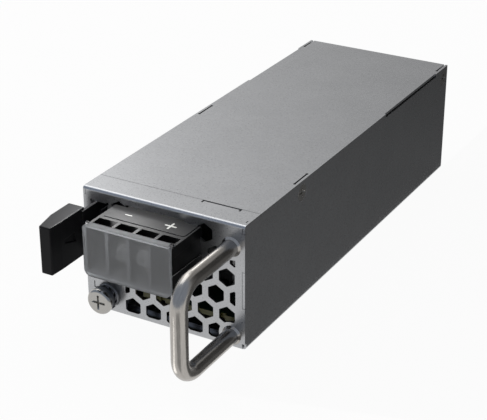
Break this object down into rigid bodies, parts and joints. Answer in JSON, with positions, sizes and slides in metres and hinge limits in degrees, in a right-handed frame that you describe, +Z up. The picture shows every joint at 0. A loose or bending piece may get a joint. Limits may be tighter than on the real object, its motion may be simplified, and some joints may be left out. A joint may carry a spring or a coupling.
{
  "type": "rack power supply",
  "caption": "Narrow plug-in rack power supply: honeycomb front, round pull handle, covered terminal block, release lever and earth screw on a folded sheet-metal case.",
  "frame": {"origin": "middle of the case's underside", "axes": "+X to the right across the front, +Y from the honeycomb front to the rear, +Z up"},
  "size_m": [0.0566, 0.1775, 0.0402],
  "materials": {
    "plated_steel": "satin, fine grain",
    "handle_steel": "brushed",
    "bright_screw": "nickel plated",
    "dark_washer": "satin",
    "black_moulding": "fine matte",
    "lever_moulding": "fine matte",
    "frosted_cover": "frosted, see-through",
    "copper_bar": "tinned",
    "board": "solder mask",
    "clear_film": "film",
    "sink_aluminium": "extruded",
    "package_black": "moulded",
    "can_sleeve": "printed sleeve",
    "ferrite": "sintered",
    "coil_tape": "tape",
    "winding_copper": "enamelled",
    "film_box": "moulded",
    "fuse_body": "ceramic",
    "connector_body": "moulded",
    "fan_moulding": "moulded",
    "steel_part": "plated"
  },
  "bodies": {
    "case": {"front_panel": "plated_steel", "chassis_tray": "plated_steel", "top_cover": "plated_steel", "cover_screws": "bright_screw", "case_rivets": "steel_part", "pull_handle": "handle_steel", "handle_nuts": "steel_part", "terminal_housing": "black_moulding", "terminal_clamps": "steel_part", "output_busbars": "copper_bar", "block_screws": "steel_part", "earth_insert": "steel_part", "latch_bracket": "steel_part", "latch_pin": "steel_part", "latch_spring": "steel_part", "latch_rivets": "steel_part", "main_pcb": "board", "insulation_sheet": "clear_film", "pcb_standoffs": "steel_part", "pcb_screws": "bright_screw", "output_heat_sink": "sink_aluminium", "output_rectifiers": "package_black", "output_capacitors": "can_sleeve", "output_choke": "ferrite", "control_board": "board", "control_chips": "package_black", "transformer_core": "ferrite", "transformer_bobbin": "package_black", "transformer_winding": "coil_tape", "primary_heat_sink": "sink_aluminium", "power_transistors": "package_black", "bulk_capacitors": "can_sleeve", "boost_choke_core": "ferrite", "boost_choke_winding": "winding_copper", "filter_capacitors": "film_box", "bridge_rectifier": "package_black", "filter_choke_core": "ferrite", "filter_choke_winding": "winding_copper", "fuse": "fuse_body", "rear_panel": "plated_steel", "fan_frame": "fan_moulding", "fan_stator": "steel_part", "fan_screws": "bright_screw", "input_connector": "connector_body", "input_contacts": "copper_bar"},
    "lever": {"latch_lever": "lever_moulding"},
    "flap": {"terminal_cover": "frosted_cover"},
    "negative_terminal": {"terminal_screw_negative": "bright_screw"},
    "positive_terminal": {"terminal_screw_positive": "bright_screw"},
    "earth_fastener": {"earth_screw": "bright_screw", "earth_lock_washer": "dark_washer", "earth_cup_washer": "dark_washer"},
    "fan_wheel": {"fan_rotor": "fan_moulding"}
  },
  "joints": [
    {"name": "lever_hinge", "type": "hinge", "parent": "case", "child": "lever", "pos_m": [-0.0222, -0.042, 0.0276], "axis": [0, 0, 1], "range_deg": [0, 6], "stiffness_Nm_per_rad": 0.5, "springref_deg": -8.59, "deforming": ["latch_spring"]},
    {"name": "flap_hinge", "type": "hinge", "parent": "case", "child": "flap", "pos_m": [-0.00135, -0.088, 0.03725], "axis": [-1, 0, 0], "range_deg": [0, 100]},
    {"name": "negative_screw_turn", "type": "hinge", "parent": "case", "child": "negative_terminal", "pos_m": [-0.00459, -0.0854, 0.0301], "axis": [0, -1, 0], "continuous": true},
    {"name": "positive_screw_turn", "type": "hinge", "parent": "case", "child": "positive_terminal", "pos_m": [0.00249, -0.0854, 0.0301], "axis": [0, -1, 0], "continuous": true},
    {"name": "earth_screw_turn", "type": "hinge", "parent": "case", "child": "earth_fastener", "pos_m": [-0.0203, -0.077, 0.0052], "axis": [0, -1, 0], "continuous": true},
    {"name": "fan_turn", "type": "hinge", "parent": "case", "child": "fan_wheel", "pos_m": [-0.0061, 0.0609, 0.0205], "axis": [0, 1, 0], "continuous": true}
  ]
}
